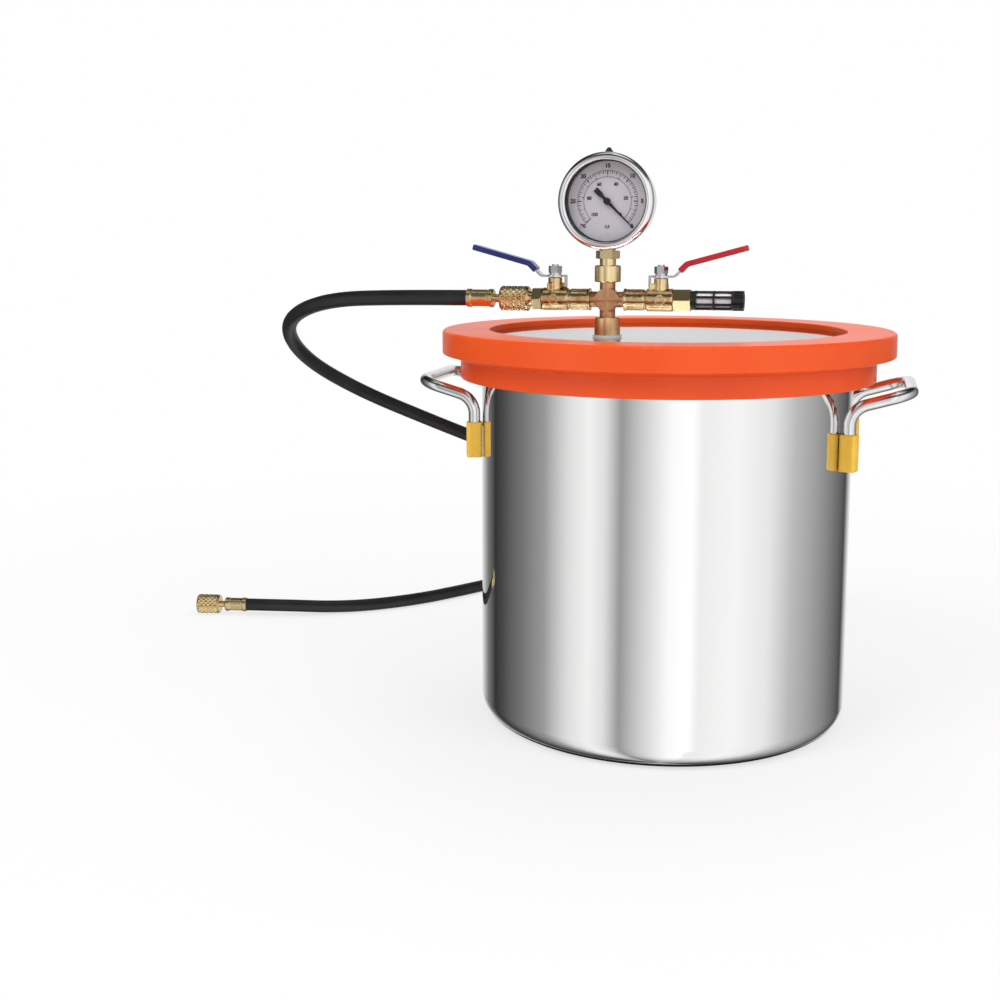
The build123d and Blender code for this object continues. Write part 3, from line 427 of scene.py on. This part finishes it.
# ---- gauge dial ------------------------------------------------------------------------------------
# A white enamelled disc printed in black with two scales, read anticlockwise from the lower right.
# Ticks, arcs and figures stand up from the enamel by the thickness of the ink.
ink_height = 0.00006
figure_weight = 0.05
scale_start = -45.0
scale_sweep = 270.0
long_tick_width = 0.00072
middle_tick_width = 0.00050
short_tick_width = 0.00036
middle_tick_share = 0.76
short_tick_share = 0.55
dial_enamel = surface(
    "dial_enamel", (0.82, 0.79, 0.84), (0.78, 0.75, 0.80), roughness=0.45,
    patch=0.03, grain=0.001, depth=0.000004,
)
dial_ink = surface("dial_ink", (0.010, 0.010, 0.012), (0.02, 0.02, 0.022), roughness=0.4, patch=0.004)
dial_middle = (Vector(dial_low) + Vector(dial_high)) / 2
dial_face_y = dial_low[1]


def on_dial(angle, radius):
    """A point of the dial's face, from its angle in degrees from +X towards +Z, and its radius."""
    turn = math.radians(angle)
    x = dial_middle.x + radius * math.cos(turn)
    z = dial_middle.z + radius * math.sin(turn)
    return Vector((x, dial_face_y, z))


def add_bar(mesh, angle, inner, outer, width):
    """A printed radial line."""
    along = on_dial(angle, 1) - on_dial(angle, 0)
    across = Vector((-along.z, 0, along.x)) * width / 2
    front = Vector((0, -ink_height, 0))
    corners = [
        on_dial(angle, inner) + across,
        on_dial(angle, inner) - across,
        on_dial(angle, outer) - across,
        on_dial(angle, outer) + across,
    ]
    low = [mesh.verts.new(c) for c in corners]
    high = [mesh.verts.new(c + front) for c in corners]
    mesh.faces.new(high)
    mesh.faces.new(reversed(low))
    for k in range(4):
        mesh.faces.new((low[k], low[(k + 1) % 4], high[(k + 1) % 4], high[k]))


def add_arc(mesh, radius, width, steps):
    """A printed arc along the whole scale."""
    front = Vector((0, -ink_height, 0))
    rows = []
    for k in range(steps + 1):
        angle = scale_start + scale_sweep * k / steps
        inner, outer = on_dial(angle, radius - width / 2), on_dial(angle, radius + width / 2)
        rows.append([mesh.verts.new(p) for p in (inner, outer, outer + front, inner + front)])
    for a, b in zip(rows, rows[1:]):
        for k in range(4):
            mesh.faces.new((a[k], a[(k + 1) % 4], b[(k + 1) % 4], b[k]))
    mesh.faces.new(rows[0])
    mesh.faces.new(reversed(rows[-1]))


def add_figure(mesh, text, height, spot):
    """A printed number, upright, centred on the spot."""
    curve = bpy.data.curves.new("figure", "FONT")
    curve.body = text
    curve.size = height
    curve.align_x = "CENTER"
    curve.align_y = "CENTER"
    curve.extrude = ink_height / 2
    curve.offset = height * figure_weight
    figure = bpy.data.objects.new("figure", curve)
    bpy.context.scene.collection.objects.link(figure)
    flat = bpy.data.meshes.new_from_object(figure.evaluated_get(bpy.context.evaluated_depsgraph_get()))
    flat.transform(Matrix.Translation(spot - Vector((0, ink_height / 2, 0))) @ facing_front)
    mesh.from_mesh(flat)
    bpy.data.objects.remove(figure)
    bpy.data.meshes.remove(flat)
    bpy.data.curves.remove(curve)


def add_scale(mesh, top, steps, long_every, middle_every, radius, tick, figure_height, figure_radius):
    """One scale: ticks from zero to top, with a figure at every long one."""
    for k in range(steps + 1):
        angle = scale_start + scale_sweep * k / steps
        if k % long_every == 0:
            add_bar(mesh, angle, radius, radius - tick, long_tick_width)
            figure = str(round(top * k / steps))
            add_figure(mesh, figure, figure_height, on_dial(angle, figure_radius))
        elif k % middle_every == 0:
            add_bar(mesh, angle, radius, radius - tick * middle_tick_share, middle_tick_width)
        else:
            add_bar(mesh, angle, radius, radius - tick * short_tick_share, short_tick_width)


printing = bmesh.new()
add_scale(
    printing, top=30, steps=60, long_every=10, middle_every=2,
    radius=0.0201, tick=0.0029, figure_height=0.0036, figure_radius=0.0228,
)
add_arc(printing, radius=0.0200, width=0.00022, steps=120)
add_scale(
    printing, top=100, steps=50, long_every=10, middle_every=5,
    radius=0.0156, tick=-0.0013, figure_height=0.0030, figure_radius=0.0122,
)
add_arc(printing, radius=0.0156, width=0.00020, steps=96)
add_bar(printing, scale_start, inner=0.0214, outer=0.0246, width=0.0008)
add_figure(printing, "2.5", height=0.0026, spot=on_dial(angle=-90, radius=0.0165))
print_mesh = bpy.data.meshes.new("dial_print")
printing.to_mesh(print_mesh)
printing.free()
dial_print = bpy.data.objects.new("dial_print", print_mesh)
link_piece(dial_print, dial_ink, "pointer_paint", "chamber")
dress(dial_enamel, "gauge_dial")

# ---- gauge needle ----------------------------------------------------------------------------------
# A pressed needle with a broad tail, painted black, on the movement's steel arbor.
# It rests at zero, at the lower right, and turns with the arbor.
needle_black = surface(
    "needle_black", (0.008, 0.008, 0.009), (0.014, 0.014, 0.015), roughness=0.6,
    patch=0.004, grain=0.0005, depth=0.000004,
)
dress(needle_black, "gauge_pointer")
dress(zinc_plate, "pointer_arbor")

# ---- hose ends -------------------------------------------------------------------------------------
# At each end a turned brass nipple, a swivel nut with a diamond knurl, and a shell crimped over the
# rubber. One nut is screwed on the blue valve, the other lies free at the end of the hose's route.
hose_route = [
    (-0.1126, -0.039, 0.290),
    (-0.1746, -0.039, 0.290),
    (-0.240, -0.030, 0.287),
    (-0.284, 0.006, 0.268),
    (-0.290, 0.056, 0.238),
    (-0.262, 0.104, 0.208),
    (-0.214, 0.140, 0.181),
    (-0.160, 0.165, 0.156),
    (-0.098, 0.183, 0.128),
    (-0.034, 0.196, 0.102),
    (0.028, 0.212, 0.060),
    (0.072, 0.234, 0.024),
    (0.107, 0.272, 0.0055),
    (0.120, 0.326, 0.0055),
    (0.098, 0.375, 0.0055),
    (0.056, 0.404, 0.0055),
    (-0.010, 0.408, 0.0055),
    (-0.076, 0.398, 0.0055),
    (-0.134, 0.368, 0.0055),
    (-0.180, 0.322, 0.0055),
    (-0.214, 0.268, 0.0055),
    (-0.252, 0.216, 0.0055),
    (-0.302, 0.178, 0.0055),
    (-0.356, 0.160, 0.0085),
    (-0.404, 0.152, 0.0085),
]
hose_first, hose_last = Vector(hose_route[0]), Vector(hose_route[-1])
nut_low, nut_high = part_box("hose_nut_chamber_end")
shell_low, shell_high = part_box("hose_ferrule_chamber_end")
nut_mouth_x = nut_high[0]
nut_length = nut_high[0] - nut_low[0]
nut_radius = (nut_high[2] - nut_low[2]) / 2
shell_start = nut_mouth_x - shell_high[0]
shell_end = nut_mouth_x - shell_low[0]
shell_radius = (shell_high[2] - shell_low[2]) / 2
same_size = 1e-6

thread_radius = 0.0056
chamber_radius = 0.0050
thread_depth = 0.0110
back_wall = 0.0050
neck_radius = 0.0028
nut_chamfer = 0.0009
knurl_margin = 0.0016
knurl_depth = 0.00085
knurl_count = 15
knurl_pitch = 0.0040
knurl_flat = 1.3
knurl_sides = 252
knurl_steps = 72


def stepped(start, end, radius, steps):
    """Points along a cylinder, close enough together to carry a pattern."""
    return [(radius, start + (end - start) * k / steps) for k in range(steps + 1)]


def wave(value):
    """A triangle wave from 0 to 1 and back over each whole number."""
    return 1 - abs(2 * (value % 1) - 1)


def diamond_knurl(angle, radius, height):
    """Raised diamonds where the knurling wheels ran, and plain bands at both ends."""
    if radius < nut_radius - same_size or not knurl_margin < height < nut_length - knurl_margin:
        return radius
    turn = knurl_count * angle / (2 * math.pi)
    climb = height / knurl_pitch
    raised = min(1.0, knurl_flat * min(wave(turn + climb), wave(turn - climb)))
    return radius - knurl_depth * (1 - raised)


nut_outline = [
    (thread_radius, 0),
    (nut_radius - nut_chamfer, 0),
    (nut_radius, nut_chamfer),
    *stepped(knurl_margin, nut_length - knurl_margin, nut_radius, knurl_steps),
    (nut_radius, nut_length - nut_chamfer),
    (nut_radius - nut_chamfer, nut_length),
    (neck_radius, nut_length),
    (neck_radius, nut_length - back_wall),
    (chamber_radius, nut_length - back_wall),
    (chamber_radius, thread_depth),
    (thread_radius, thread_depth),
]

shell_bore = 0.0054
shell_neck = 0.00275
shell_wall = 0.0013
shell_chamfer = 0.0008
belt_length = 0.0032
waist_depth = 0.0006
waist_radius = shell_radius - waist_depth
waist_steps = 6
bead = 0.0005
jaw_count = 8
jaw_share = 0.018
shell_sides = 96


def crimped(angle, radius, height):
    """The flats that the crimping jaws left round the waist."""
    if abs(radius - waist_radius) > same_size:
        return radius
    return radius * (1 + jaw_share * math.cos(jaw_count * angle))


belt_end = shell_start + belt_length
collar_start = shell_end - belt_length
shell_outline = [
    (shell_neck, shell_start),
    (shell_radius - shell_chamfer, shell_start),
    (shell_radius, shell_start + shell_chamfer),
    (shell_radius, belt_end),
    (shell_radius - bead, belt_end + bead),
    *stepped(belt_end + 2 * bead, collar_start - 2 * bead, waist_radius, waist_steps),
    (shell_radius - bead, collar_start - bead),
    (shell_radius, collar_start),
    (shell_radius, shell_end - bead),
    (shell_radius - bead, shell_end),
    (shell_bore, shell_end),
    (shell_bore, shell_start + shell_wall),
    (shell_neck, shell_start + shell_wall),
]
knurled_brass = surface(
    "knurled_brass", (0.93, 0.75, 0.42), (0.84, 0.62, 0.30), roughness=0.24, metallic=1.0,
    patch=0.006, grain=0.0006, depth=0.00002,
)
near_mouth = Vector((nut_mouth_x, hose_first.y, hose_first.z))
near_place = Matrix.Translation(near_mouth) @ Matrix.Rotation(math.radians(-90), 4, "Y")
outward = (hose_last - Vector(hose_route[-2])).normalized()
far_mouth = hose_last + outward * (nut_mouth_x - hose_first.x)
far_place = Matrix.Translation(far_mouth) @ (-outward).to_track_quat("Z", "Y").to_matrix().to_4x4()
for end, place in (("chamber", near_place), ("pump", far_place)):
    nut = turned(f"knurled_nut_{end}_end", nut_outline, knurl_sides, diamond_knurl)
    shell = turned(f"crimped_shell_{end}_end", shell_outline, shell_sides, crimped)
    for piece, replaced in ((nut, f"hose_nut_{end}_end"), (shell, f"hose_ferrule_{end}_end")):
        piece.data.transform(place)
        link_piece(piece, knurled_brass, "brass", "chamber", replaced)
dress(turned_brass, "hose_nipple_chamber_end", "hose_nipple_pump_end")

# ---- hose ------------------------------------------------------------------------------------------
# A vacuum hose of black rubber over a braid, held in the crimped shells. It leaves the nut straight,
# loops out and down behind the pot, and lies on the floor with its free end.
hose_radius = 0.0053
hose_rubber = surface(
    "hose_rubber", (0.008, 0.008, 0.009), (0.013, 0.013, 0.014), roughness=0.42,
    patch=0.02, grain=0.0009, depth=0.00002,
)
hose_curve = bpy.data.curves.new("vacuum_hose", "CURVE")
hose_curve.dimensions = "3D"
hose_curve.bevel_depth = hose_radius
hose_curve.bevel_resolution = 8
hose_curve.resolution_u = 12
hose_curve.use_fill_caps = True
hose_line = hose_curve.splines.new("NURBS")
hose_line.points.add(len(hose_route) - 1)
for point, spot in zip(hose_line.points, hose_route):
    point.co = (*spot, 1)
hose_line.order_u = 3
hose_line.use_endpoint_u = True
vacuum_hose = bpy.data.objects.new("vacuum_hose", hose_curve)
link_piece(vacuum_hose, hose_rubber, "hose_rubber", "chamber", "hose")

# ---- studio floor ----------------------------------------------------------------------------------
# A pale matt floor that fades to plain white away from the pot and keeps the pot's shadow.
# Reflections leave it out. A dark disc under the pot shows in them instead, as the base's own shade.
floor_reach = 8
floor_tone = 0.86
fade_from = 0.20
fade_to = 1.10
white_near = 0.66
shade_radius = 0.121
shade_height = 0.0001
shade_sides = 96
shade_tone = 0.03
floor_mesh = bpy.data.meshes.new("floor")
floor_corners = [
    (-floor_reach, -floor_reach, 0),
    (floor_reach, -floor_reach, 0),
    (floor_reach, floor_reach, 0),
    (-floor_reach, floor_reach, 0),
]
floor_mesh.from_pydata(floor_corners, [], [(0, 1, 2, 3)])
floor = bpy.data.objects.new("floor", floor_mesh)
bpy.context.scene.collection.objects.link(floor)
floor.visible_glossy = False
floor_paint = bpy.data.materials.new("floor_paint")
floor_paint.use_nodes = True
floor_mesh.materials.append(floor_paint)
paint = floor_paint.node_tree
matt = paint.nodes["Principled BSDF"]
matt.inputs["Base Color"].default_value = (floor_tone, floor_tone, floor_tone, 1)
matt.inputs["Roughness"].default_value = 0.9
matt.inputs["Specular IOR Level"].default_value = 0.1
glow = paint.nodes.new("ShaderNodeEmission")
ray = paint.nodes.new("ShaderNodeLightPath")
floor_place = paint.nodes.new("ShaderNodeTexCoord")
from_pot = paint.nodes.new("ShaderNodeVectorMath")
from_pot.operation = "LENGTH"
fade = paint.nodes.new("ShaderNodeMapRange")
fade.interpolation_type = "SMOOTHSTEP"
fade.inputs["From Min"].default_value = fade_from
fade.inputs["From Max"].default_value = fade_to
fade.inputs["To Min"].default_value = white_near
fade.inputs["To Max"].default_value = 1.0
seen = paint.nodes.new("ShaderNodeMath")
seen.operation = "MULTIPLY"
blend = paint.nodes.new("ShaderNodeMixShader")
link(paint, floor_place.outputs["Object"], from_pot.inputs[0])
link(paint, from_pot.outputs["Value"], fade.inputs["Value"])
link(paint, ray.outputs["Is Camera Ray"], seen.inputs[0])
link(paint, fade.outputs["Result"], seen.inputs[1])
link(paint, seen.outputs["Value"], blend.inputs["Fac"])
link(paint, matt.outputs["BSDF"], blend.inputs[1])
link(paint, glow.outputs["Emission"], blend.inputs[2])
link(paint, blend.outputs["Shader"], paint.nodes["Material Output"].inputs["Surface"])

shade_rim = []
for k in range(shade_sides):
    turn = math.tau * k / shade_sides
    shade_rim.append((shade_radius * math.cos(turn), shade_radius * math.sin(turn), shade_height))
shade_mesh = bpy.data.meshes.new("shade_under_pot")
shade_mesh.from_pydata(shade_rim, [], [range(shade_sides)])
shade_under_pot = bpy.data.objects.new("shade_under_pot", shade_mesh)
bpy.context.scene.collection.objects.link(shade_under_pot)
shade_paint = bpy.data.materials.new("shade_paint")
shade_paint.use_nodes = True
shade = shade_paint.node_tree.nodes["Principled BSDF"]
shade.inputs["Base Color"].default_value = (shade_tone, shade_tone, shade_tone, 1)
shade_mesh.materials.append(shade_paint)
shade_under_pot.visible_camera = False
shade_under_pot.visible_diffuse = False
shade_under_pot.visible_transmission = False
shade_under_pot.visible_shadow = False

# ---- studio cards ----------------------------------------------------------------------------------
# White, grey and dark cards stand all round and show in reflections alone: (compass angle from the
# camera's side, brightness). Dark flags hang above them, under a bright ceiling: (sine of the climb
# of a ray, share of the cards' brightness).
camera_side = -81.8
cards = [
    (-180, 0.92),
    (-158, 0.62),
    (-144, 0.20),
    (-130, 0.035),
    (-118, 0.075),
    (-98, 0.18),
    (-78, 0.34),
    (-60, 0.78),
    (-46, 0.95),
    (-36, 0.80),
    (-26, 0.33),
    (-14, 0.64),
    (4, 1.06),
    (16, 1.12),
    (22, 0.92),
    (44, 1.00),
    (66, 0.86),
    (84, 0.54),
    (106, 0.35),
    (128, 0.18),
    (146, 0.07),
    (160, 0.72),
]
flags = [
    (-0.90, 0.85),
    (-0.78, 1.0),
    (0.42, 1.0),
    (0.58, 0.13),
    (0.86, 0.10),
    (0.95, 0.95),
]
straight_down = 0.4
soft_white = (0.97, 0.98, 1.0, 1)
soft_strength = 0.62
world = bpy.data.worlds.new("studio")
world.use_nodes = True
bpy.context.scene.world = world
room = world.node_tree
direction = room.nodes.new("ShaderNodeTexCoord")
turned_room = room.nodes.new("ShaderNodeMapping")
turned_room.inputs["Rotation"].default_value = (0, 0, math.radians(-camera_side))
compass = room.nodes.new("ShaderNodeTexGradient")
compass.gradient_type = "RADIAL"
card_tones = room.nodes.new("ShaderNodeValToRGB")
card_ramp = card_tones.color_ramp
behind = cards[0][1]
for stop in (card_ramp.elements[0], card_ramp.elements[1]):
    stop.color = (behind, behind, behind, 1)
for angle, tone in cards[1:]:
    card_ramp.elements.new((angle + 180) / 360).color = (tone, tone, tone, 1)
link(room, direction.outputs["Generated"], turned_room.inputs["Vector"])
link(room, turned_room.outputs["Vector"], compass.inputs["Vector"])
link(room, compass.outputs["Fac"], card_tones.inputs["Fac"])

apart = room.nodes.new("ShaderNodeSeparateXYZ")
climb_share = room.nodes.new("ShaderNodeMapRange")
climb_share.inputs["From Min"].default_value = -1.0
climb_share.inputs["From Max"].default_value = 1.0
flag_tones = room.nodes.new("ShaderNodeValToRGB")
flag_ramp = flag_tones.color_ramp
for climb, tone in flags:
    flag_ramp.elements.new((climb + 1) / 2).color = (tone, tone, tone, 1)
flag_ramp.elements[0].color = (straight_down, straight_down, straight_down, 1)
flagged = room.nodes.new("ShaderNodeVectorMath")
flagged.operation = "MULTIPLY"
link(room, direction.outputs["Generated"], apart.inputs["Vector"])
link(room, apart.outputs["Z"], climb_share.inputs["Value"])
link(room, climb_share.outputs["Result"], flag_tones.inputs["Fac"])
link(room, card_tones.outputs["Color"], flagged.inputs[0])
link(room, flag_tones.outputs["Color"], flagged.inputs[1])

soft_light = room.nodes["Background"]
soft_light.inputs["Color"].default_value = soft_white
soft_light.inputs["Strength"].default_value = soft_strength
card_light = room.nodes.new("ShaderNodeBackground")
white_light = room.nodes.new("ShaderNodeBackground")
white_light.inputs["Color"].default_value = (1, 1, 1, 1)
paths = room.nodes.new("ShaderNodeLightPath")
polished = room.nodes.new("ShaderNodeMixShader")
shown = room.nodes.new("ShaderNodeMixShader")
see_through = room.nodes.new("ShaderNodeMath")
see_through.operation = "MAXIMUM"
link(room, flagged.outputs["Vector"], card_light.inputs["Color"])
link(room, paths.outputs["Is Glossy Ray"], polished.inputs["Fac"])
link(room, soft_light.outputs["Background"], polished.inputs[1])
link(room, card_light.outputs["Background"], polished.inputs[2])
link(room, paths.outputs["Is Camera Ray"], see_through.inputs[0])
link(room, paths.outputs["Is Transmission Ray"], see_through.inputs[1])
link(room, see_through.outputs["Value"], shown.inputs["Fac"])
link(room, polished.outputs["Shader"], shown.inputs[1])
link(room, white_light.outputs["Background"], shown.inputs[2])
link(room, shown.outputs["Shader"], room.nodes["World Output"].inputs["Surface"])

# ---- studio lamps ----------------------------------------------------------------------------------
# Three square softboxes: a key from the upper left, a fill from the right and one from above.
# They light the chamber softly and stay out of its reflections.
lamp_aim = Vector((0, 0, 0.2))


def soft_lamp(name, place, size, power):
    """A square softbox aimed at the upper part of the pot."""
    lamp = bpy.data.lights.new(name, "AREA")
    lamp.shape = "SQUARE"
    lamp.size = size
    lamp.energy = power
    holder = bpy.data.objects.new(name, lamp)
    holder.location = place
    holder.rotation_euler = (lamp_aim - Vector(place)).to_track_quat("-Z", "Y").to_euler()
    holder.visible_glossy = False
    bpy.context.scene.collection.objects.link(holder)


soft_lamp("key", (-0.9, -1.3, 1.7), size=1.0, power=16)
soft_lamp("fill", (1.4, -0.8, 1.1), size=1.2, power=10)
soft_lamp("top", (0.1, 0.5, 1.8), size=1.2, power=9)

# ---- camera ----------------------------------------------------------------------------------------
# A metre in front and just above the lid, a little to the right of the pot.
# It is turned to the left and tilted down.
camera_tilt = 8.107
camera_turn = 14.195
camera_data = bpy.data.cameras.new("camera")
camera_data.lens = 50.875
camera_data.sensor_width = 36.0
camera_data.shift_y = -0.0685
camera = bpy.data.objects.new("camera", camera_data)
camera.location = (0.1271, -0.9661, 0.3353)
camera.rotation_euler = (math.radians(90 - camera_tilt), 0, math.radians(camera_turn))
bpy.context.scene.collection.objects.link(camera)
bpy.context.scene.camera = camera
bpy.context.scene.view_settings.view_transform = "Standard"
